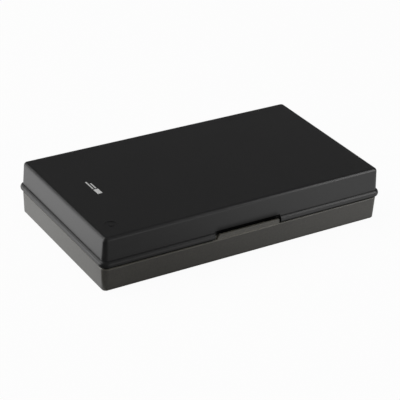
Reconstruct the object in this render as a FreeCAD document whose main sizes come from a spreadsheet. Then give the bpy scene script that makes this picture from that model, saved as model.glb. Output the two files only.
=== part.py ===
import FreeCAD, Part
import Sketcher
import os
import re

# Hinged antistatic storage box: a moulded tray and lid of carbon-filled plastic, joined at the
# back by two pinned hinges and held shut at the front by a finger tab with a snap rib.
# Millimetres. X runs along the long side, -Y is the front with the tab, +Y the hinge side,
# +Z up. The origin is the middle of the underside.

doc = FreeCAD.newDocument("StorageBox")
sheet = doc.addObject("Spreadsheet::Sheet", "Sizes")

# Driving dimensions. The outline is the lid's outer wall where the lid meets the tray.
drivingSizes = {
    "outline_length": 198.0,
    "outline_width": 111.6,
    "corner_radius": 3.6,
    "tray_height": 15.3,
    "lid_height": 19.7,
    "parting_gap": 0.5,
    "wall": 2.2,
    "tray_floor": 2.0,
    "lid_roof": 2.2,
    "lid_draft": 3.0,
    "tray_draft": 2.4,
    "lid_edge_radius": 2.3,
    "tray_edge_radius": 1.0,
    "inside_radius": 0.4,
    # tray rim: a rounded shoulder outside, a locating lip inside
    "shoulder_step": 0.1,
    "shoulder_radius": 1.0,
    "lip_thickness": 0.9,
    "lip_height": 2.5,
    "lip_clearance": 0.15,
    "lip_top_clearance": 0.2,
    "lip_edge_radius": 0.3,
    # bead round the lid's rim, its lower side just above the tray's shoulder
    "rim_radius": 0.5,
    "bead_rise": 2.35,
    "bead_width": 4.7,
    "bead_projection": 1.6,
    # finger tab on the tray, in a notch of the bead; it stands a little to the right of the middle
    "tab_width": 44.8,
    "tab_offset": 1.2,
    "tab_gap": 0.15,
    "tab_height": 3.65,
    "tab_thickness": 1.2,
    "tab_setback": 0.35,
    "tab_lean": 17.0,
    "tab_end_draft": 12.0,
    "tab_corner_radius": 1.0,
    "tab_edge_radius": 0.25,
    "tab_root_depth": 0.8,
    "tab_back_clearance": 0.15,
    # thumb scoop in the lid's wall behind the tab
    "scoop_depth": 1.32,
    "scoop_rise": 3.8,
    "scoop_radius": 2.2,
    # snap rib on the tab and the ridge on the lid that passes it
    "snap_length": 26.0,
    "snap_rise": 3.3,
    "snap_radius": 0.35,
    "snap_step": 0.5,
    # hinges
    "hinge_from_end": 35.0,
    "knuckle_width": 12.0,
    "ear_width": 4.5,
    "knuckle_gap": 0.3,
    "knuckle_radius": 2.25,
    "axis_offset": 2.8,
    "hinge_root_depth": 0.9,
    "web_drop": 8.0,
    "arm_rise": 7.5,
    "pin_radius": 1.0,
    "pin_ear_clearance": 0.02,
    "pin_knuckle_clearance": 0.06,
    "pin_recess": 0.4,
    "pin_end_wall": 1.2,
    "pin_end_gap": 0.1,
    "pin_end_chamfer": 0.2,
    "hinge_notch_gap": 1.2,
    # foam
    "tray_foam_thickness": 8.0,
    "lid_foam_thickness": 12.0,
    "foam_side_gap": 0.5,
    "foam_corner_radius": 2.0,
    "foam_edge_chamfer": 1.2,
    # round moulding marks
    "mark_radius": 4.0,
    "mark_ring_width": 2.5,
    "mark_depth": 0.25,
    "mark_from_side": 12.5,
    "mark_from_front": 14.5,
    # how far a cut starts outside the wall it cuts
    "cut_reach": 6.0,
}

for row, (alias, size) in enumerate(drivingSizes.items(), start=1):
    sheet.set(f"A{row}", alias)
    sheet.set(f"B{row}", str(size))
    sheet.setAlias(f"B{row}", alias)
doc.recompute()

# Places that several features share, as expressions of the sizes
lidBottom = "(tray_height + parting_gap)"
lipTop = "(tray_height + lip_height)"
roofUnderside = "(tray_height + parting_gap + lid_height - lid_roof)"
frontWall = "(outline_width / 2)"
lipInset = "(shoulder_step + wall - lip_thickness)"
rebateDepth = "(lip_height + lip_top_clearance - parting_gap)"
floorInset = "(shoulder_step + wall + (tray_height + lip_height - tray_floor) * tan(tray_draft))"
roofInset = "(wall + (lid_height - lid_roof) * tan(lid_draft))"
axisBack = "(outline_width / 2 + axis_offset)"
hingeRoot = "(outline_width / 2 - hinge_root_depth)"
hingeMiddle = "(outline_length / 2 - hinge_from_end)"
hingeReach = "(knuckle_width / 2 + knuckle_gap + ear_width)"
hingeOuterFace = f"({hingeMiddle} + {hingeReach})"
hingeInnerFace = f"({hingeMiddle} - {hingeReach})"
edgeTolerance = 0.01


def sized(expression):
    """The expression with every size name pointing at the sheet."""
    return re.sub(r"[a-z_]+", lambda word: "Sizes." * (word[0] in drivingSizes) + word[0], expression)


def value(expression):
    """The number that an expression of size names comes to."""
    return float(sheet.evalExpression(expression))


def new_body(label):
    """An empty body named as its part."""
    body = doc.addObject("PartDesign::Body", label)
    body.Label = label
    return body


def origin_plane(body, role):
    """The body's own origin plane with that role."""
    return next(feature for feature in body.Origin.OriginFeatures if feature.Role == role)


def new_sketch(body, label, role, offset):
    """An empty sketch on one of the body's origin planes, moved along the plane's normal."""
    sketch = body.newObject("Sketcher::SketchObject", label)
    sketch.AttachmentSupport = [(origin_plane(body, role), "")]
    sketch.MapMode = "FlatFace"
    sketch.setExpression("AttachmentOffset.Base.z", sized(offset))
    return sketch


def pin_point(sketch, geometry, point, x, y):
    """Tie one point of a sketch to the coordinates that two expressions give."""
    for kind, expression, axis in (("DistanceX", x, -2), ("DistanceY", y, -1)):
        if abs(value(expression)) < edgeTolerance:
            sketch.addConstraint(Sketcher.Constraint("PointOnObject", geometry, point, axis))
            continue
        number = sketch.addConstraint(
            Sketcher.Constraint(kind, -1, 1, geometry, point, value(expression)))
        sketch.setExpression(f"Constraints[{number}]", sized(expression))


def draw_circle(sketch, x, y, radius):
    """A circle about a point, all three sizes as expressions."""
    centre = FreeCAD.Vector(value(x), value(y), 0)
    circle = sketch.addGeometry(Part.Circle(centre, FreeCAD.Vector(0, 0, 1), value(radius)))
    pin_point(sketch, circle, 3, x, y)
    number = sketch.addConstraint(Sketcher.Constraint("Radius", circle, value(radius)))
    sketch.setExpression(f"Constraints[{number}]", sized(radius))


def draw_loop(sketch, corners, arcs=None):
    """A closed loop through corners given as expressions.

    arcs holds the radius of each arc by the number of the corner it starts from; a radius with a
    minus sign turns to the right on the way round.
    """
    arcs = arcs or {}
    points = [FreeCAD.Vector(value(x), value(y), 0) for x, y in corners]
    pieces = []
    for number, start in enumerate(points):
        finish = points[(number + 1) % len(points)]
        if number not in arcs:
            geometry = sketch.addGeometry(Part.LineSegment(start, finish))
            pieces.append((geometry, 1, 2))
            continue
        radius = abs(value(arcs[number]))
        turnsRight = value(arcs[number]) < 0
        low, high = (finish, start) if turnsRight else (start, finish)
        chord = high - low
        toCentre = FreeCAD.Vector(-chord.y, chord.x, 0).normalize()
        rise = max(radius ** 2 - chord.Length ** 2 / 4, 0) ** 0.5
        centre = (low + high) * 0.5 + toCentre * rise
        circle = Part.Circle(centre, FreeCAD.Vector(0, 0, 1), radius)
        firstAngle = circle.parameter(low)
        lastAngle = circle.parameter(high)
        geometry = sketch.addGeometry(Part.ArcOfCircle(circle, firstAngle, lastAngle))
        pieces.append((geometry, 2, 1) if turnsRight else (geometry, 1, 2))
    for number, (geometry, start, finish) in enumerate(pieces):
        following, followingStart, followingFinish = pieces[(number + 1) % len(pieces)]
        sketch.addConstraint(
            Sketcher.Constraint("Coincident", geometry, finish, following, followingStart))
    for number, (geometry, start, finish) in enumerate(pieces):
        pin_point(sketch, geometry, start, *corners[number])
        if number in arcs:
            radius = arcs[number].lstrip("-")
            constraint = sketch.addConstraint(Sketcher.Constraint("Radius", geometry, value(radius)))
            sketch.setExpression(f"Constraints[{constraint}]", sized(radius))


def draw_rounded_rectangle(sketch, length, width, radius):
    """A rectangle about the origin with rounded corners, anticlockwise from the front side."""
    corners = []
    for alongX, alongY in ((1, -1), (1, 1), (-1, 1), (-1, -1)):
        straightX = f"{alongX} * (({length}) / 2 - ({radius}))"
        straightY = f"{alongY} * (({width}) / 2 - ({radius}))"
        sideX = f"{alongX} * ({length}) / 2"
        sideY = f"{alongY} * ({width}) / 2"
        ends = [(straightX, sideY), (sideX, straightY)]
        corners += ends if alongX * alongY < 0 else ends[::-1]
    draw_loop(sketch, corners, {0: radius, 2: radius, 4: radius, 6: radius})


def inset_rectangle(body, label, offset, inset):
    """A level sketch of the box's outline moved inward all round."""
    sketch = new_sketch(body, label, "XY_Plane", offset)
    draw_rounded_rectangle(sketch, f"outline_length - 2 * {inset}", f"outline_width - 2 * {inset}",
                           f"corner_radius - {inset}")
    return sketch


def extrude(body, kind, label, sketch, length, draft="", reverse=False, symmetric=False):
    """A pad or pocket of a sketch; a draft narrows it away from the sketch."""
    feature = body.newObject(f"PartDesign::{kind}", label)
    feature.Profile = sketch
    feature.setExpression("Length", sized(length))
    feature.Reversed = reverse
    if draft:
        feature.setExpression("TaperAngle", f"-{sized(draft)}")
    if symmetric:
        feature.SideType = "Symmetric"
    sketch.Visibility = False
    doc.recompute()
    return feature


def dress(body, kind, label, size, chosen):
    """A fillet or chamfer of the edges of the body so far whose bounds pass the test."""
    before = body.Tip
    names = [f"Edge{number}" for number, edge in enumerate(before.Shape.Edges, start=1)
             if chosen(edge.BoundBox)]
    feature = body.newObject(f"PartDesign::{kind}", label)
    feature.Base = (before, names)
    feature.setExpression("Radius" if kind == "Fillet" else "Size", sized(size))
    doc.recompute()
    return feature


def mirror_sideways(body, label, originals):
    """The same features again on the other side of the middle."""
    feature = body.newObject("PartDesign::Mirrored", label)
    feature.Originals = originals
    feature.MirrorPlane = (origin_plane(body, "YZ_Plane"), [""])
    body.Tip = feature
    doc.recompute()
    return feature


def moulding_mark(body, label, offset, reverse):
    """A shallow round recess with a nub left standing in its middle."""
    sketch = new_sketch(body, label + "_sketch", "XY_Plane", offset)
    markX = "mark_from_side - outline_length / 2"
    markY = "mark_from_front - outline_width / 2"
    draw_circle(sketch, markX, markY, "mark_radius")
    draw_circle(sketch, markX, markY, "mark_radius - mark_ring_width")
    return extrude(body, "Pocket", label, sketch, "mark_depth", reverse=reverse)


# Tray: drafted shell, open at the top
tray = new_body("base_tray")
outline = inset_rectangle(tray, "tray_outline", "tray_height", "shoulder_step")
extrude(tray, "Pad", "tray_block", outline, "tray_height", draft="tray_draft", reverse=True)
dress(tray, "Fillet", "tray_lower_edge", "tray_edge_radius", lambda box: box.ZMax < edgeTolerance)
dress(tray, "Fillet", "tray_shoulder", "shoulder_radius",
      lambda box: box.ZMin > value("tray_height") - edgeTolerance)
lipOutline = inset_rectangle(tray, "lip_outline", "tray_height", lipInset)
extrude(tray, "Pad", "lip", lipOutline, "lip_height")
dress(tray, "Fillet", "lip_edge", "lip_edge_radius", lambda box: box.ZMin > value(lipTop) - edgeTolerance)

# Finger tab: leans outward from just behind the shoulder, its ends drafted and rounded. In the
# trims, an end's expression starts with the tab's offset and the sign of its side.
tabFoot = f"({frontWall} - tab_setback - tab_root_depth * tan(tab_lean))"
tabTop = f"({frontWall} - tab_setback + tab_height * tan(tab_lean))"
tabThrough = "(tab_thickness / cos(tab_lean))"
tabProfile = new_sketch(tray, "tab_profile", "YZ_Plane", "tab_offset")
draw_loop(tabProfile, [
    (f"-{tabFoot}", "tray_height - tab_root_depth"),
    (f"{tabThrough} - {tabFoot}", "tray_height - tab_root_depth"),
    (f"{tabThrough} - {tabTop}", "tray_height + tab_height"),
    (f"-{tabTop}", "tray_height + tab_height"),
])
extrude(tray, "Pad", "tab", tabProfile, "tab_width", symmetric=True)
tabLevel = value("tray_height + tab_height")
dress(tray, "Fillet", "tab_front_edge", "tab_edge_radius",
      lambda box: box.ZMin > tabLevel - edgeTolerance and box.XLength > value("tab_width") / 2
      and box.YMin < -value(tabTop) + edgeTolerance)
tabEnds = new_sketch(tray, "tab_end_trims", "XZ_Plane", f"{frontWall} + cut_reach")
tabCornerX = "(tab_width / 2 - tab_height * tan(tab_end_draft))"
cornerTangent = "(tab_corner_radius * tan(45 - tab_end_draft / 2))"
for side, cornerRadius in (("tab_offset + 1", "-tab_corner_radius"),
                           ("tab_offset - 1", "tab_corner_radius")):
    draw_loop(tabEnds, [
        (f"{side} * tab_width / 2", "tray_height"),
        (f"{side} * (tab_width / 2 + cut_reach)", "tray_height"),
        (f"{side} * (tab_width / 2 + cut_reach)", "tray_height + tab_height + cut_reach"),
        (f"{side} * ({tabCornerX} - {cornerTangent})", "tray_height + tab_height + cut_reach"),
        (f"{side} * ({tabCornerX} - {cornerTangent})", "tray_height + tab_height"),
        (f"{side} * ({tabCornerX} + {cornerTangent} * sin(tab_end_draft))",
         f"tray_height + tab_height - {cornerTangent} * cos(tab_end_draft)"),
    ], {4: cornerRadius})
extrude(tray, "Pocket", "tab_ends", tabEnds, f"cut_reach + {lipInset}")

# Snap rib along the back of the tab
ribProfile = new_sketch(tray, "snap_rib_profile", "YZ_Plane", "0")
draw_circle(ribProfile, f"{tabThrough} + tab_setback - {frontWall} - snap_rise * tan(tab_lean)",
            "tray_height + snap_rise", "snap_radius")
extrude(tray, "Pad", "snap_rib", ribProfile, "snap_length", symmetric=True)

# Inside of the tray
cavity = inset_rectangle(tray, "tray_cavity_outline", lipTop, "(shoulder_step + wall)")
extrude(tray, "Pocket", "tray_cavity", cavity, f"{lipTop} - tray_floor", draft="tray_draft")
floorLevel = value("tray_floor")
dress(tray, "Fillet", "tray_inside_edge", "inside_radius",
      lambda box: abs(box.ZMin - floorLevel) < edgeTolerance and abs(box.ZMax - floorLevel) < edgeTolerance)


def draw_ear(label, start):
    """One ear of the right-hand hinge: round in front, square at the back as the lid's stop."""
    sketch = new_sketch(tray, label + "_profile", "YZ_Plane", start)
    draw_loop(sketch, [
        (hingeRoot, "tray_height - web_drop"),
        (f"{axisBack} + knuckle_radius", "tray_height - knuckle_radius"),
        (f"{axisBack} + knuckle_radius", "tray_height + knuckle_radius"),
        (axisBack, "tray_height + knuckle_radius"),
        (f"{axisBack} - knuckle_radius", "tray_height"),
        (f"{axisBack} - knuckle_radius", "tray_height - shoulder_radius"),
        (hingeRoot, "tray_height - shoulder_radius"),
    ], {3: "knuckle_radius"})
    return extrude(tray, "Pad", label, sketch, "ear_width")


# Hinge ears with the pin's bore: open at the outer end, blind at the inner end
outerEar = draw_ear("outer_ear", f"{hingeOuterFace} - ear_width")
innerEar = draw_ear("inner_ear", hingeInnerFace)
boreSketch = new_sketch(tray, "ear_bore_circle", "YZ_Plane", hingeOuterFace)
draw_circle(boreSketch, axisBack, "tray_height", "pin_radius + pin_ear_clearance")
earBore = extrude(tray, "Pocket", "ear_bore", boreSketch, f"2 * {hingeReach} - pin_end_wall")
mirror_sideways(tray, "left_hinge_ears", [outerEar, innerEar, earBore])
moulding_mark(tray, "tray_mark", "0", True)

# Lid: drafted shell, open at the bottom
lid = new_body("lid")
outline = inset_rectangle(lid, "lid_outline", lidBottom, "0")
extrude(lid, "Pad", "lid_block", outline, "lid_height", draft="lid_draft")
lidLevel = value(f"{lidBottom} + lid_height")
dress(lid, "Fillet", "lid_upper_edge", "lid_edge_radius", lambda box: box.ZMin > lidLevel - edgeTolerance)
dress(lid, "Fillet", "lid_rim_edge", "rim_radius",
      lambda box: box.ZMax < value(lidBottom) + edgeTolerance)

# Half-round bead swept round the wall above the rim
beadInset = "(bead_rise * tan(lid_draft))"
beadPath = inset_rectangle(lid, "bead_path", f"{lidBottom} + bead_rise", beadInset)
beadProfile = new_sketch(lid, "bead_profile", "YZ_Plane", "0")
beadSurface = f"({frontWall} - {beadInset})"
beadRadius = "((bead_width ^ 2 / 4 + bead_projection ^ 2) / (2 * bead_projection))"
draw_loop(beadProfile, [
    (f"wall / 2 - {beadSurface}", f"{lidBottom} + bead_rise - bead_width / 2"),
    (f"wall / 2 - {beadSurface}", f"{lidBottom} + bead_rise + bead_width / 2"),
    (f"-{beadSurface}", f"{lidBottom} + bead_rise + bead_width / 2"),
    (f"-{beadSurface}", f"{lidBottom} + bead_rise - bead_width / 2"),
], {2: beadRadius})
bead = lid.newObject("PartDesign::AdditivePipe", "bead")
bead.Profile = beadProfile
bead.Spine = beadPath
doc.recompute()

# Inside of the lid, with a rebate for the tray's lip
cavity = inset_rectangle(lid, "lid_cavity_outline", lidBottom, "wall")
extrude(lid, "Pocket", "lid_cavity", cavity, "lid_height - lid_roof", draft="lid_draft", reverse=True)
roofLevel = value(roofUnderside)
dress(lid, "Fillet", "lid_inside_edge", "inside_radius",
      lambda box: abs(box.ZMin - roofLevel) < edgeTolerance and abs(box.ZMax - roofLevel) < edgeTolerance)
rebate = inset_rectangle(lid, "rebate_outline", lidBottom, f"({lipInset} - lip_clearance)")
extrude(lid, "Pocket", "rebate", rebate, rebateDepth, reverse=True)

# Room for the finger tab: the rim cut away, the bead notched and a thumb scoop in the wall
notchHalf = "(tab_width / 2 + tab_offset + tab_gap)"
rimCut = new_sketch(lid, "tab_rim_outline", "XY_Plane", lidBottom)
rimCutBack = f"({tabFoot} - {tabThrough} - tab_back_clearance)"
draw_loop(rimCut, [
    (f"-{notchHalf}", f"-{frontWall} - cut_reach"),
    (notchHalf, f"-{frontWall} - cut_reach"),
    (notchHalf, f"-{rimCutBack}"),
    (f"-{notchHalf}", f"-{rimCutBack}"),
])
extrude(lid, "Pocket", "tab_rim_cut", rimCut, rebateDepth, reverse=True)
scoop = new_sketch(lid, "scoop_profile", "YZ_Plane", "0")
scoopFloor = f"({frontWall} - scoop_depth)"
scoopEnd = f"({lidBottom} + scoop_rise + sqrt(scoop_radius ^ 2 - (scoop_radius - scoop_depth) ^ 2))"
draw_loop(scoop, [
    (f"-{frontWall} - cut_reach", f"{lidBottom} - parting_gap"),
    (f"-{scoopFloor}", f"{lidBottom} - parting_gap"),
    (f"-{scoopFloor}", f"{lidBottom} + scoop_rise"),
    (f"-{frontWall}", scoopEnd),
    (f"-{frontWall} - cut_reach", scoopEnd),
], {2: "scoop_radius"})
extrude(lid, "Pocket", "scoop", scoop, f"2 * {notchHalf}", symmetric=True)
ridgeProfile = new_sketch(lid, "snap_ridge_profile", "YZ_Plane", "0")
draw_circle(ridgeProfile, f"-{scoopFloor}", "tray_height + snap_rise - snap_step", "snap_radius")
extrude(lid, "Pad", "snap_ridge", ridgeProfile, "snap_length", symmetric=True)

# Hinge side: the bead cut away, then an arm with its knuckle between each pair of ears
notch = new_sketch(lid, "hinge_notch_profile", "YZ_Plane", f"{hingeInnerFace} - hinge_notch_gap")
draw_loop(notch, [
    (frontWall, f"{lidBottom} - parting_gap"),
    (f"{frontWall} + cut_reach", f"{lidBottom} - parting_gap"),
    (f"{frontWall} + cut_reach", f"{lidBottom} + bead_rise + bead_width"),
    (f"{frontWall} - (bead_rise + bead_width) * tan(lid_draft)", f"{lidBottom} + bead_rise + bead_width"),
    (frontWall, lidBottom),
])
hingeNotch = extrude(lid, "Pocket", "hinge_notch", notch, f"2 * ({hingeReach} + hinge_notch_gap)",
                     reverse=True)
arm = new_sketch(lid, "arm_profile", "YZ_Plane", f"{hingeMiddle} - knuckle_width / 2")
draw_loop(arm, [
    (hingeRoot, lidBottom),
    (f"{axisBack} - knuckle_radius", lidBottom),
    (f"{axisBack} - knuckle_radius", "tray_height"),
    (axisBack, "tray_height - knuckle_radius"),
    (f"{axisBack} + knuckle_radius", "tray_height"),
    (hingeRoot, "tray_height + arm_rise"),
], {2: "knuckle_radius", 3: "knuckle_radius"})
hingeArm = extrude(lid, "Pad", "hinge_arm", arm, "knuckle_width")
boreSketch = new_sketch(lid, "knuckle_bore_circle", "YZ_Plane", f"{hingeOuterFace} - ear_width")
draw_circle(boreSketch, axisBack, "tray_height", "pin_radius + pin_knuckle_clearance")
knuckleBore = extrude(lid, "Pocket", "knuckle_bore", boreSketch, f"2 * ({hingeReach} - ear_width)")
mirror_sideways(lid, "left_hinge_arm", [hingeNotch, hingeArm, knuckleBore])
moulding_mark(lid, "lid_mark", f"{lidBottom} + lid_height", False)


def build_pin(label, side, reverse):
    """A hinge pin from just inside the outer ear's face to just short of the bore's end."""
    pin = new_body(label)
    sketch = new_sketch(pin, label + "_circle", "YZ_Plane", f"{side} * ({hingeOuterFace} - pin_recess)")
    draw_circle(sketch, axisBack, "tray_height", "pin_radius")
    extrude(pin, "Pad", label + "_rod", sketch,
            f"2 * {hingeReach} - pin_recess - pin_end_wall - pin_end_gap", reverse=reverse)
    dress(pin, "Chamfer", label + "_ends", "pin_end_chamfer", lambda box: box.XLength < edgeTolerance)
    return pin


def build_foam(label, bottom, inset, thickness, lowerEdgeChamfered):
    """A die-cut foam bed with a small gap to the walls; its edge against the plastic is chamfered."""
    foam = new_body(label)
    sketch = new_sketch(foam, label + "_outline", "XY_Plane", bottom)
    fit = f"{inset} + foam_side_gap"
    draw_rounded_rectangle(sketch, f"outline_length - 2 * ({fit})", f"outline_width - 2 * ({fit})",
                           "foam_corner_radius")
    extrude(foam, "Pad", label + "_block", sketch, thickness)
    level = value(bottom if lowerEdgeChamfered else f"{bottom} + {thickness}")
    dress(foam, "Chamfer", label + "_edge", "foam_edge_chamfer",
          lambda box: abs(box.ZMin - level) < edgeTolerance and abs(box.ZMax - level) < edgeTolerance)
    return foam


parts = [
    tray,
    lid,
    build_pin("hinge_pin_right", "1", True),
    build_pin("hinge_pin_left", "-1", False),
    build_foam("base_foam", "tray_floor", floorInset, "tray_foam_thickness", True),
    build_foam("lid_foam", f"({roofUnderside} - lid_foam_thickness)", roofInset, "lid_foam_thickness", False),
]

doc.recompute()
for item in doc.Objects:
    if "Invalid" in item.State or "Error" in item.State:
        raise RuntimeError(f"{item.Label} did not recompute: {item.State}")
os.makedirs("parts", exist_ok=True)
for part in parts:
    if part.Shape.isNull() or not part.Shape.isValid():
        raise RuntimeError(f"{part.Label} has no valid shape")
    if len(part.Shape.Solids) != 1:
        raise RuntimeError(f"{part.Label} is not one solid")
    part.Shape.exportStep(f"parts/{part.Label}.step")
    bounds = part.Shape.BoundBox
    print(part.Label, [round(size, 2) for size in (bounds.XMin, bounds.XMax, bounds.YMin, bounds.YMax,
                                                   bounds.ZMin, bounds.ZMax)], round(part.Shape.Volume))
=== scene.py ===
import bpy
import math
import numpy as np
from mathutils import Matrix, Vector


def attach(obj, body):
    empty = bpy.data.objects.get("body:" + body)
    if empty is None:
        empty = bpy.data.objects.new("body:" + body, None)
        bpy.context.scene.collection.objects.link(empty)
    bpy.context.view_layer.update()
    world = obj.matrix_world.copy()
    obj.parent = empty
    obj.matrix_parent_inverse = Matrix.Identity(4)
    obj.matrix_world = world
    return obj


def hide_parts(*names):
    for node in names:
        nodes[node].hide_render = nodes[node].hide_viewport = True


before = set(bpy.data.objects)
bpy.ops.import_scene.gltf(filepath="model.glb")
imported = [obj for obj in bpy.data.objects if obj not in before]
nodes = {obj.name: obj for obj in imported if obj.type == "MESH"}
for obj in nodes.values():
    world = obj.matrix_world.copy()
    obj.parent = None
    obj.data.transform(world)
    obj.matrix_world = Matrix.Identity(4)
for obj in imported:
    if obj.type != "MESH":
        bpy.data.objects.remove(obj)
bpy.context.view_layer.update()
millimetre = 0.001

print("camera")
cameraView = {
    "place": (-0.45126, -0.71583, 0.47238),  # metres, in the box's own frame
    "azimuth": -32.232,  # degrees round from the front, towards the left
    "elevation": 28.643,
    "roll": 2.549,
    "lens": 135.96,  # millimetres
    "sensor": 36.0,
    "clip": (0.02, 20.0),  # metres
}


def aimCamera(view):
    # the camera's axes from its azimuth, elevation and roll, as the columns of its matrix
    azimuth, elevation, roll = (math.radians(view[key]) for key in ("azimuth", "elevation", "roll"))
    back = np.array([math.sin(azimuth) * math.cos(elevation),
                     -math.cos(azimuth) * math.cos(elevation), math.sin(elevation)])
    level = np.cross([0.0, 0.0, 1.0], back)
    level /= np.linalg.norm(level)
    upright = np.cross(back, level)
    right = math.cos(roll) * level + math.sin(roll) * upright
    up = math.cos(roll) * upright - math.sin(roll) * level
    camera = bpy.data.objects.new("camera", bpy.data.cameras.new("camera"))
    bpy.context.scene.collection.objects.link(camera)
    pose = np.eye(4)
    pose[:3, 0], pose[:3, 1], pose[:3, 2], pose[:3, 3] = right, up, back, view["place"]
    camera.matrix_world = Matrix(pose.tolist())
    camera.data.sensor_width = view["sensor"]
    camera.data.lens = view["lens"]
    camera.data.clip_start, camera.data.clip_end = view["clip"]
    bpy.context.scene.camera = camera


aimCamera(cameraView)
bpy.context.scene.view_settings.view_transform = "Standard"


class Value:  # a socket that plain arithmetic works on
    def __init__(self, recipe, socket):
        self.recipe = recipe
        self.socket = socket

    def combine(self, operation, first, second):
        return self.recipe.node("Math", {"operation": operation}, {0: first, 1: second})

    def __add__(self, other):
        return self.combine("ADD", self, other)

    __radd__ = __add__

    def __sub__(self, other):
        return self.combine("SUBTRACT", self, other)

    def __rsub__(self, other):
        return self.combine("SUBTRACT", other, self)

    def __mul__(self, other):
        return self.combine("MULTIPLY", self, other)

    __rmul__ = __mul__


class Recipe:  # the nodes of one material, or of the world
    def __init__(self, holder):
        self.holder = holder
        holder.use_nodes = True
        self.tree = holder.node_tree
        self.tree.nodes.clear()

    def node(self, kind, settings=None, sockets=None, output=0):
        made = self.tree.nodes.new("ShaderNode" + kind)
        for key, setting in (settings or {}).items():
            setattr(made, key, setting)
        for key, value in (sockets or {}).items():
            if isinstance(value, Value):
                self.tree.links.new(value.socket, made.inputs[key])
            else:
                made.inputs[key].default_value = value
        return Value(self, made.outputs[output]) if made.outputs else None

    def place(self):
        return self.node("TexCoord", {}, {}, "Object")

    def axes(self):  # x, y and z on the piece, in millimetres
        split = self.node("SeparateXYZ", {}, {"Vector": self.place()}).socket.node
        return [Value(self, socket) * (1.0 / millimetre) for socket in split.outputs]

    def noise(self, size, detail=2.0, stretch=1.0, turn=0.0):  # size in millimetres, turn in degrees
        where = self.node("Mapping", {"vector_type": "TEXTURE"}, {
            "Vector": self.place(), "Scale": (stretch, 1.0, 1.0),
            "Rotation": (0.0, 0.0, math.radians(turn))})
        return self.node("TexNoise", {}, {
            "Vector": where, "Scale": 1.0 / (size * millimetre), "Detail": detail}, "Fac")

    def cells(self, size):  # size in millimetres
        return self.node("TexVoronoi", {"feature": "F1"}, {
            "Vector": self.place(), "Scale": 1.0 / (size * millimetre)}, "Distance")

    def ease(self, value, low, high):  # 0 below low, 1 above high, smooth between
        return self.node("MapRange", {"interpolation_type": "SMOOTHSTEP"}, {
            "Value": value, "From Min": low, "From Max": high})

    def within(self, value, low, high, soft=0.06):  # 1 between low and high
        return (self.ease(value, low - soft, low + soft)
                - self.ease(value, high - soft, high + soft))

    def larger(self, first, second):
        return self.node("Math", {"operation": "MAXIMUM"}, {0: first, 1: second})

    def unsigned(self, value):
        return self.node("Math", {"operation": "ABSOLUTE"}, {0: value})

    def mixColour(self, share, first, second):  # the node's colours are inputs 6 and 7, output 2
        return self.node("Mix", {"data_type": "RGBA"}, {"Factor": share, 6: first, 7: second}, 2)

    def mixSurface(self, share, first, second):
        return self.node("MixShader", {}, {0: share, 1: first, 2: second})

    def principled(self, sockets):
        return self.node("BsdfPrincipled", {}, sockets, "BSDF")

    def bump(self, height, depth):  # depth in millimetres
        return self.node("Bump", {}, {
            "Height": height, "Strength": 1.0, "Distance": depth * millimetre})

    def finish(self, surface, kind="OutputMaterial"):
        self.node(kind, {}, {"Surface": surface})
        return self.holder


def shaded(colour, share):
    return tuple(share * part for part in colour[:3]) + (1.0,)


def dress(name, material):  # a CAD node gets this material
    nodes[name].data.materials.clear()
    nodes[name].data.materials.append(material)


print("plastic")
plastic = {  # sizes and depths in millimetres
    "lidColour": (0.0100, 0.0100, 0.0103, 1.0),
    "trayColour": (0.0745, 0.0695, 0.0560, 1.0),
    "lidRubbedAndHighlight": (0.0160, 0.0160, 0.0165, 1.0),
    "trayRubbedAndHighlight": (0.2400, 0.2270, 0.1900, 1.0),
    "ior": 1.95,
    "roughness": 0.33,
    "flowSize": 35.0,
    "flowSpread": 0.05,  # how much the roughness changes with the melt's flow
    "speckSize": 1.2,  # the faint speckle of the filler
    "speckLimits": (0.35, 0.65),
    "shadeSpread": 0.20,  # how much flow and speckle together change the colour, each way
    "grainSize": 0.35,  # between the bumps of the satin finish
    "grainDepth": 0.004,
    "scratchSize": 0.5,
    "scratchStretch": 26.0,  # how many times longer than wide a scratch is
    "scratchTurns": (24.0, -51.0),  # degrees
    "scratchLimits": (0.70, 0.76),  # the part of the noise that shows as a scratch
    "scratchShare": 0.10,
    "scratchLight": 2.2,  # how many times lighter than the colour
    "wearAndHighlightPatchSize": 9.0,
    "wearAndHighlightPatchLimits": (0.35, 0.60),
    "wearAndHighlightLeast": 0.8,  # the worn and painted-highlight edges get this much of it at least
    "polish": 0.07,  # how much smoother the worn and highlighted edges are
}
lidWornAndLitEdges = {  # where the lid's top edges are lightened, in millimetres: wear, and a painted highlight that grows towards the right end
    "halfLength": 95.65,
    "halfWidth": 52.45,
    "past": (0.3, 1.2),  # how far past those two
    "heights": (33.2, 34.6),
    "along": (-60.0, 90.0),  # more towards the right end, as the painted highlight grows
}
trayWornAndLitEdges = {  # where the tray is lightened, as heights in millimetres: a painted highlight along the shoulder and wear at the foot
    "shoulder": (14.2, 14.8),
    "tab": (15.3, 15.5),
    "tabCalm": 0.6,  # how much less the tab above the shoulder is lightened by the painted highlight
    "foot": (0.4, 1.3),
    "footShare": 0.3,
}


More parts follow.
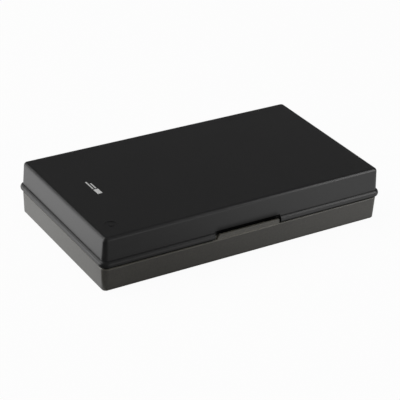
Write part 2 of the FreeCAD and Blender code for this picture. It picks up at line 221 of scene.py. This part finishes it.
def mouldedPlastic(name, colour, wearAndHighlight, wearAndHighlightColour):
    # flow marks, speckle and short scratches in two directions over a fine grain; the
    # wear-and-highlight function gives how much each place is lightened by wear and by painted
    # highlight, and the colour argument is the colour there; returns the recipe and its look
    recipe = Recipe(bpy.data.materials.new(name))
    flow = recipe.noise(plastic["flowSize"])
    speck = recipe.ease(recipe.noise(plastic["speckSize"]), *plastic["speckLimits"])
    grain = recipe.noise(plastic["grainSize"], 3.0)
    scratches = 0.0
    for turn in plastic["scratchTurns"]:
        line = recipe.noise(plastic["scratchSize"], 1.0, plastic["scratchStretch"], turn)
        scratches = recipe.ease(line, *plastic["scratchLimits"]) + scratches
    patches = recipe.ease(recipe.noise(plastic["wearAndHighlightPatchSize"], 1.0), *plastic["wearAndHighlightPatchLimits"])
    least = plastic["wearAndHighlightLeast"]
    wearAndHighlightShare = wearAndHighlight(recipe, *recipe.axes()) * (least + (1.0 - least) * patches)
    dark, light = 1.0 - plastic["shadeSpread"], 1.0 + plastic["shadeSpread"]
    shade = recipe.mixColour((flow + speck) * 0.5, shaded(colour, dark), shaded(colour, light))
    shade = recipe.mixColour(scratches * plastic["scratchShare"], shade,
                             shaded(colour, plastic["scratchLight"]))
    # lightened towards that colour by wear and by painted highlight
    shade = recipe.mixColour(wearAndHighlightShare, shade, wearAndHighlightColour)
    roughness = (plastic["roughness"] + (flow - 0.5) * plastic["flowSpread"]
                 - wearAndHighlightShare * plastic["polish"])
    return recipe, {"Base Color": shade, "Roughness": roughness, "IOR": plastic["ior"],
                    "Normal": recipe.bump(grain, plastic["grainDepth"])}


def lidWearAndHighlight(recipe, x, y, z):
    # wear and painted highlight on the top edges, growing from the left end to the right
    past = recipe.larger(recipe.unsigned(x) - lidWornAndLitEdges["halfLength"],
                         recipe.unsigned(y) - lidWornAndLitEdges["halfWidth"])
    edge = recipe.ease(past, *lidWornAndLitEdges["past"]) * recipe.ease(z, *lidWornAndLitEdges["heights"])
    return edge * recipe.ease(x, *lidWornAndLitEdges["along"])


def trayWearAndHighlight(recipe, x, y, z):
    # painted highlight: the shoulder's rounded top edge, and the tab above it less, are painted
    # light as if lit; the foot is lighter from wear
    shoulder = recipe.ease(z, *trayWornAndLitEdges["shoulder"])
    tab = recipe.ease(z, *trayWornAndLitEdges["tab"])
    foot = 1.0 - recipe.ease(z, *trayWornAndLitEdges["foot"])
    return shoulder - tab * trayWornAndLitEdges["tabCalm"] + foot * trayWornAndLitEdges["footShare"]


def trayPlastic():
    recipe, look = mouldedPlastic("trayPlastic", plastic["trayColour"], trayWearAndHighlight,
                                  plastic["trayRubbedAndHighlight"])
    return recipe.finish(recipe.principled(look))


lidPaintedShade = {  # painted shade: a matt dark under the bead, on the bead at the left end and in the scoop behind the tab, in millimetres
    "colour": (0.004, 0.004, 0.004, 1.0),
    "cornerCentre": (95.4, 52.2),
    "pastWall": (13.2, 15.2),  # squared distance from the corner's centre where the bead begins
    "underBead": ((16.6, 18.4), 0.80),  # heights between which it fades, and the most of it
    "leftBead": ((17.5, 19.5), 0.35),
    "leftReach": (20.0, 90.0),
    "scoop": ((19.5, 25.5), 0.90),
    "scoopHalf": 22.0,
    "scoopSoft": 2.5,
    "scoopBack": (-53.0, -50.0),
}
printedMark = {  # a plain white block and two thin lines behind it, in millimetres
    "block": ((-76.0, -72.7), (-4.6, 1.4)),
    "lines": [((-76.0, -75.1), (2.4, 12.4)), ((-74.1, -73.2), (2.4, 9.4))],
    "heights": (35.2, 35.3),  # only the lid's top is printed
    "inkGrain": 0.5,
    "inkLimits": (0.22, 0.34),  # below these the ink has holes
    "colour": (0.72, 0.72, 0.71, 1.0),
    "roughness": 0.5,
}


def paintedShadeShare(recipe, x, y, z):
    # painted shade under the bead all round, a little higher at the left end, and in the scoop
    # behind the tab
    centreX, centreY = lidPaintedShade["cornerCentre"]
    alongX = recipe.larger(recipe.unsigned(x) - centreX, 0.0)
    alongY = recipe.larger(recipe.unsigned(y) - centreY, 0.0)
    onBead = recipe.ease(alongX * alongX + alongY * alongY, *lidPaintedShade["pastWall"])
    atLeft = onBead * recipe.ease(-1.0 * x, *lidPaintedShade["leftReach"])
    half = lidPaintedShade["scoopHalf"]
    inFront = recipe.within(x, -half, half, lidPaintedShade["scoopSoft"])
    inFront = inFront * (1.0 - recipe.ease(y, *lidPaintedShade["scoopBack"]))
    shadeSoFar = 0.0
    for where, key in ((onBead, "underBead"), (atLeft, "leftBead"), (inFront, "scoop")):
        heights, most = lidPaintedShade[key]
        shadeSoFar = recipe.larger(shadeSoFar, where * (1.0 - recipe.ease(z, *heights)) * most)
    return shadeSoFar


def inkShare(recipe, x, y, z):
    ink = 0.0
    for across, along in [printedMark["block"]] + printedMark["lines"]:
        ink = recipe.within(x, *across) * recipe.within(y, *along) + ink
    holes = recipe.ease(recipe.noise(printedMark["inkGrain"]), *printedMark["inkLimits"])
    return ink * recipe.ease(z, *printedMark["heights"]) * holes


def lidPlastic():
    recipe, look = mouldedPlastic("lidPlastic", plastic["lidColour"], lidWearAndHighlight,
                                  plastic["lidRubbedAndHighlight"])
    axes = recipe.axes()
    ink = inkShare(recipe, *axes)
    look["Base Color"] = recipe.mixColour(ink, look["Base Color"], printedMark["colour"])
    rougher = printedMark["roughness"] - plastic["roughness"]
    look["Roughness"] = look["Roughness"] + ink * rougher
    smooth = recipe.principled(look)
    # painted shade: a matt dark surface mixed in under the bead and in the scoop
    paintedShadeSurface = recipe.node("BsdfDiffuse", {}, {"Color": lidPaintedShade["colour"]})
    return recipe.finish(recipe.mixSurface(paintedShadeShare(recipe, *axes), smooth, paintedShadeSurface))


dress("base_tray", trayPlastic())
dress("lid", lidPlastic())

print("hinge pins")
pinSteel = {  # sizes and depths in millimetres
    "colour": (0.58, 0.57, 0.55, 1.0),
    "roughness": 0.28,
    "drawnSize": 0.12,
    "drawnStretch": 40.0,
    "drawnDepth": 0.002,
    "drawnSpread": 0.12,  # how much rougher the drawn lines are
    "tarnishSize": 2.5,
    "tarnishLimits": (0.45, 0.75),
    "tarnishShade": 0.6,
    "tarnishSpread": 0.1,
}


def drawnSteel():
    recipe = Recipe(bpy.data.materials.new("drawnSteel"))
    drawn = recipe.noise(pinSteel["drawnSize"], 2.0, pinSteel["drawnStretch"])
    tarnish = recipe.ease(recipe.noise(pinSteel["tarnishSize"], 3.0), *pinSteel["tarnishLimits"])
    return recipe.finish(recipe.principled({
        "Base Color": recipe.mixColour(tarnish, pinSteel["colour"],
                                       shaded(pinSteel["colour"], pinSteel["tarnishShade"])),
        "Metallic": 1.0,
        "Roughness": (pinSteel["roughness"] + drawn * pinSteel["drawnSpread"]
                      + tarnish * pinSteel["tarnishSpread"]),
        "Normal": recipe.bump(drawn, pinSteel["drawnDepth"])}))


pinMaterial = drawnSteel()
for name in ("hinge_pin_right", "hinge_pin_left"):
    dress(name, pinMaterial)

print("foam beds")
foamBeds = {  # lengths in millimetres
    "firmBed": {
        "node": "base_foam", "body": "tray", "slot": "firm_foam",
        "halfLength": 95.5, "halfWidth": 52.3, "bottom": 2.0, "top": 9.95,
        "corner": 2.2, "lowerRound": 1.3, "upperRound": 0.5, "waist": 0.15, "swell": 0.05,
        "cell": 0.55, "cellDepth": 0.10, "colour": (0.036, 0.036, 0.038, 1.0), "seed": 4,
    },
    "softBed": {
        "node": "lid_foam", "body": "lid", "slot": "soft_foam",
        "halfLength": 95.3, "halfWidth": 52.1, "bottom": 21.35, "top": 33.3,
        "corner": 2.2, "lowerRound": 0.9, "upperRound": 1.3, "waist": 0.45, "swell": 0.12,
        "cell": 1.1, "cellDepth": 0.18, "colour": (0.050, 0.050, 0.053, 1.0), "seed": 9,
    },
}
foam = {  # what both beds share
    "straightSteps": 40,  # points along each straight side and each corner
    "cornerSteps": 7,
    "faceRings": 30,  # rings on each face, round and side
    "faceSpread": 0.8,  # below 1 the rings of a face stand closer near its rim
    "roundRings": 6,
    "sideRings": 7,
    "waves": (90.0, 55.0, 31.0, 17.0),  # lengths in millimetres
    "smallCell": 0.45,  # size of the small cells beside the large ones
    "smallShare": 0.35,
    "wallLimits": (0.35, 0.85),
    "wallShades": (0.25, 1.8),  # the middle of a cell and its walls, times the colour
    "patchSize": 24.0,
    "patchLimits": (0.4, 0.7),
    "patchShare": 0.3,
    "patchShade": 1.4,
    "roughness": 0.82,
    "patchSpread": 0.15,
    "ior": 1.4,
}


def roundedOutline(bed):
    # a rectangle's outline with round corners: for each corner a quarter circle about its centre,
    # then the straight run to the next corner cut into equal steps; normals turn with the corners
    corner, straight = bed["corner"], foam["straightSteps"]
    middleX, middleY = bed["halfLength"] - corner, bed["halfWidth"] - corner
    points, normals = [], []
    for number, (sideX, sideY) in enumerate(((1, 1), (-1, 1), (-1, -1), (1, -1))):
        angle = np.linspace(0.0, 0.5, foam["cornerSteps"]) * math.pi + number * math.pi / 2
        turned = np.stack([np.cos(angle), np.sin(angle)], 1)
        points.append(np.array([sideX * middleX, sideY * middleY]) + corner * turned)
        normals.append(turned)
    outline, outward = [], []
    for number in range(4):
        first, following = points[number][-1], points[(number + 1) % 4][0]
        share = np.linspace(0.0, 1.0, straight + 1)[1:-1, None]
        outline += [points[number], first + share * (following - first)]
        outward += [normals[number], np.repeat(normals[number][-1:], straight - 1, 0)]
    return np.concatenate(outline), np.concatenate(outward)


def ringProfile(bed):
    # the section from the middle of the underside out, up the side and back to the middle of the
    # top, as inset in millimetres, share of the way out and height; the rounds are quarter circles
    # and the side draws in as a parabola
    low, high, bottom, top = (bed[key] for key in ("lowerRound", "upperRound", "bottom", "top"))
    face = foam["faceRings"]
    turn = np.linspace(0.0, math.pi / 2, foam["roundRings"])
    inward = np.linspace(0.0, 1.0, face) ** foam["faceSpread"]
    rise = np.linspace(0.0, 1.0, foam["sideRings"] + 2)[1:-1]
    inset = [np.full(face, low), low * (1 - np.sin(turn)), bed["waist"] * 4 * rise * (1 - rise),
             high * (1 - np.cos(turn)), np.full(face, high)]
    share = [inward, np.ones(len(turn)), np.ones(len(rise)), np.ones(len(turn)), inward[::-1]]
    height = [np.full(face, bottom), bottom + low * (1 - np.cos(turn)),
              bottom + low + rise * (top - high - bottom - low),
              top - high * (1 - np.sin(turn)), np.full(face, top)]
    return np.concatenate(inset), np.concatenate(share), np.concatenate(height)


def sinkFace(points, bed):
    # the height falls by swell * upper * the mean over the waves of
    # (1 + cos(weight) * sin(2 pi * run / length + phase)) / 2, where run is the distance along a
    # seeded angle and upper goes from 0 at the bottom to 1 at the top
    chance = np.random.default_rng(bed["seed"])
    waves = np.zeros(len(points))
    for length in foam["waves"]:
        angle, phase, weight = chance.uniform(0.0, 2 * math.pi, 3)
        run = points[:, 0] * math.cos(angle) + points[:, 1] * math.sin(angle)
        waves += (1 + np.sin(run * 2 * math.pi / length + phase) * math.cos(weight)) / 2
    upper = np.clip((points[:, 2] - bed["bottom"]) / (bed["top"] - bed["bottom"]), 0.0, 1.0)
    points[:, 2] -= bed["swell"] * upper * waves / len(foam["waves"])


def cutBed(name, bed):
    # point(u, v) = (outline(u) - inset(v) * outward(u)) * share(v) at height(v), closed by one
    # point in the middle of each face
    outline, outward = roundedOutline(bed)
    profile = ringProfile(bed)
    moved = sum(np.abs(np.diff(part)) for part in profile)
    apart = np.concatenate([[True], moved > 1e-6])  # rings that fall together count once
    inset, share, height = (part[apart][1:-1] for part in profile)
    flat = (outline[None] - inset[:, None, None] * outward[None]) * share[:, None, None]
    levels = np.broadcast_to(height[:, None, None], flat.shape[:2] + (1,))
    rings, around = flat.shape[:2]
    points = np.concatenate([np.concatenate([flat, levels], 2).reshape(-1, 3),
                             [[0.0, 0.0, bed["bottom"]], [0.0, 0.0, bed["top"]]]])
    sinkFace(points, bed)
    numbers = np.arange(rings * around).reshape(rings, around)
    beside = np.roll(numbers, -1, 1)
    quads = np.stack([numbers[:-1], beside[:-1], beside[1:], numbers[1:]], 2).reshape(-1, 4)
    lowCap = np.stack([np.full(around, rings * around), beside[0], numbers[0]], 1)
    highCap = np.stack([np.full(around, rings * around + 1), numbers[-1], beside[-1]], 1)
    mesh = bpy.data.meshes.new(name)
    mesh.from_pydata((points * millimetre).tolist(), [],
                     quads.tolist() + lowCap.tolist() + highCap.tolist())
    mesh.polygons.foreach_set("use_smooth", np.ones(len(mesh.polygons), bool))
    piece = bpy.data.objects.new(name, mesh)
    bpy.context.scene.collection.objects.link(piece)
    return piece


def cellFoam(name, bed):
    # open cells as a Voronoi pattern: walls catch light, cell middles fall back into shade
    recipe = Recipe(bpy.data.materials.new(name))
    colour = bed["colour"]
    cell = recipe.cells(bed["cell"])
    small = recipe.cells(bed["cell"] * foam["smallCell"])
    patches = recipe.noise(foam["patchSize"], 3.0)
    wall = recipe.ease(cell + small * foam["smallShare"], *foam["wallLimits"])
    dark, light = foam["wallShades"]
    shade = recipe.mixColour(wall, shaded(colour, dark), shaded(colour, light))
    faded = recipe.ease(patches, *foam["patchLimits"]) * foam["patchShare"]
    return recipe.finish(recipe.principled({
        "Base Color": recipe.mixColour(faded, shade, shaded(colour, foam["patchShade"])),
        "Roughness": foam["roughness"] + patches * foam["patchSpread"],
        "IOR": foam["ior"],
        "Normal": recipe.bump(wall, bed["cellDepth"])}))


for name, bed in foamBeds.items():
    piece = cutBed(name, bed)
    piece.data.materials.append(cellFoam(name + "Cells", bed))
    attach(piece, bed["body"])
    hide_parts(bed["node"])

print("floor and light")
studio = {  # lengths in metres
    "rings": (0.01, 0.5, 1.5, 2.6),  # of the level paper; past the last it curves up
    "coveRadius": 0.6,
    "coveSteps": 12,
    "aroundSteps": 96,
    "floorColour": (0.8, 0.8, 0.8, 1.0),
    "shadowShare": 0.045,  # how much of the paper's own shade the camera sees
    "worldStrength": 0.095,
}
paperPaintedLight = {  # painted light and shadow that reflections see on the paper round the box: bright beside it, dimmed in front as the box's painted shadow; places in millimetres
    "beside": 1.0,  # to the left of the box
    "besideEdge": (-99.0, -95.0),  # where that begins
    "besideFront": 0.8,  # its share at the front
    "besideAlong": (-60.0, 60.0),
    "wedge": (-62.0, -46.0),  # it ends here towards the front, off the box's front left corner
    "wedgeTurn": 30.0,  # and this much further back at a distance from the box
    "wedgeReach": (98.0, 125.0),
    "before": (0.175, 0.48),  # in front of the box, dimmed as its painted shadow, at its left and right end
    "beforeAlong": (-70.0, 125.0),
    "corner": ((-108.0, -84.0), 0.4),  # painted shade beyond the left end
    "foot": ((0.3, 2.0), 0.3),  # and painted shadow right at the foot of the box
    "footHalf": (98.2, 55.0),
}
softboxes = {  # place, width and height in metres, watts, and whether it shows in reflections
    "overhead": ((-0.4, 0.3, 1.6), 2.0, 2.0, 18.0, False),
    "frontRight": ((0.40, -0.26, 0.46), 0.22, 0.16, 0.13, True),
    "right": ((0.42, -0.36, 0.25), 0.30, 0.20, 0.29, True),
    "backLeft": ((-1.1, 0.9, 1.1), 1.4, 1.1, 4.5, True),
    "leftLow": ((-1.2, 0.7, 0.25), 0.9, 0.35, 0.8, True),
}


def paintedLightShare(recipe, x, y):
    # the brighter of the painted light beside the box and the painted shadow in front of it
    wedge = y - paperPaintedLight["wedgeTurn"] * recipe.ease(-1.0 * x, *paperPaintedLight["wedgeReach"])
    beside = 1.0 - recipe.ease(x, *paperPaintedLight["besideEdge"])
    beside = beside * recipe.ease(wedge, *paperPaintedLight["wedge"]) * paperPaintedLight["beside"]
    least = paperPaintedLight["besideFront"]
    beside = beside * (least + (1.0 - least) * recipe.ease(y, *paperPaintedLight["besideAlong"]))
    atLeft, atRight = paperPaintedLight["before"]
    before = atLeft + recipe.ease(x, *paperPaintedLight["beforeAlong"]) * (atRight - atLeft)
    where, least = paperPaintedLight["corner"]
    before = before * (least + (1.0 - least) * recipe.ease(x, *where))
    where, least = paperPaintedLight["foot"]
    halfLength, halfWidth = paperPaintedLight["footHalf"]
    past = recipe.larger(recipe.unsigned(x) - halfLength, recipe.unsigned(y) - halfWidth)
    before = before * (least + (1.0 - least) * recipe.ease(past, *where))
    return recipe.larger(before, beside)


def floorPaper():
    # white to the camera but for a little of its shade, the pattern of painted light and shadow to
    # reflections
    recipe = Recipe(bpy.data.materials.new("floorPaper"))
    x, y = recipe.axes()[:2]
    rays = recipe.node("LightPath").socket.node.outputs
    camera, glossy, through = (Value(recipe, rays[kind]) for kind in (
        "Is Camera Ray", "Is Glossy Ray", "Is Transmission Ray"))
    paper = recipe.node("BsdfDiffuse", {}, {"Color": studio["floorColour"]})
    white = recipe.node("Emission", {}, {
        "Color": recipe.larger(camera, paintedLightShare(recipe, x, y)), "Strength": 1.0})
    seen = recipe.larger(camera * (1.0 - studio["shadowShare"]), recipe.larger(glossy, through))
    return recipe.finish(recipe.mixSurface(seen, paper, white))


def layFloor():
    # a level disc whose rim rises in a quarter circle: radius(v) and height(v) carried round by u
    rise = np.linspace(0.0, math.pi / 2, studio["coveSteps"] + 1)[1:]
    level, cove, around = studio["rings"], studio["coveRadius"], studio["aroundSteps"]
    radius = np.concatenate([level, level[-1] + cove * np.sin(rise)])[:, None]
    height = np.concatenate([np.zeros(len(level)), cove * (1 - np.cos(rise))])[:, None]
    angle = np.linspace(0.0, 2 * math.pi, around + 1)[:-1]
    points = np.stack([radius * np.cos(angle), radius * np.sin(angle),
                       np.broadcast_to(height, (len(radius), around))], 2).reshape(-1, 3)
    numbers = np.arange(len(points)).reshape(-1, around)
    beside = np.roll(numbers, -1, 1)
    quads = np.stack([numbers[:-1], numbers[1:], beside[1:], beside[:-1]], 2).reshape(-1, 4)
    mesh = bpy.data.meshes.new("floor")
    mesh.from_pydata(points.tolist(), [], quads.tolist() + [numbers[0].tolist()])
    floor = bpy.data.objects.new("floor", mesh)
    bpy.context.scene.collection.objects.link(floor)
    floor.data.materials.append(floorPaper())


def hangSoftboxes():
    for name, (place, width, height, watts, mirrored) in softboxes.items():
        lamp = bpy.data.lights.new(name, "AREA")
        lamp.shape, lamp.size, lamp.size_y, lamp.energy = "RECTANGLE", width, height, watts
        softbox = bpy.data.objects.new(name, lamp)
        bpy.context.scene.collection.objects.link(softbox)
        softbox.visible_camera = False
        softbox.visible_glossy = mirrored
        softbox.location = place
        softbox.rotation_mode = "QUATERNION"
        softbox.rotation_quaternion = Vector(place).to_track_quat("Z", "Y")  # faces the middle


def lightRoom():
    recipe = Recipe(bpy.data.worlds.new("studio"))
    room = recipe.node("Background", {}, {"Strength": studio["worldStrength"]})
    bpy.context.scene.world = recipe.finish(room, "OutputWorld")


layFloor()
lightRoom()
hangSoftboxes()
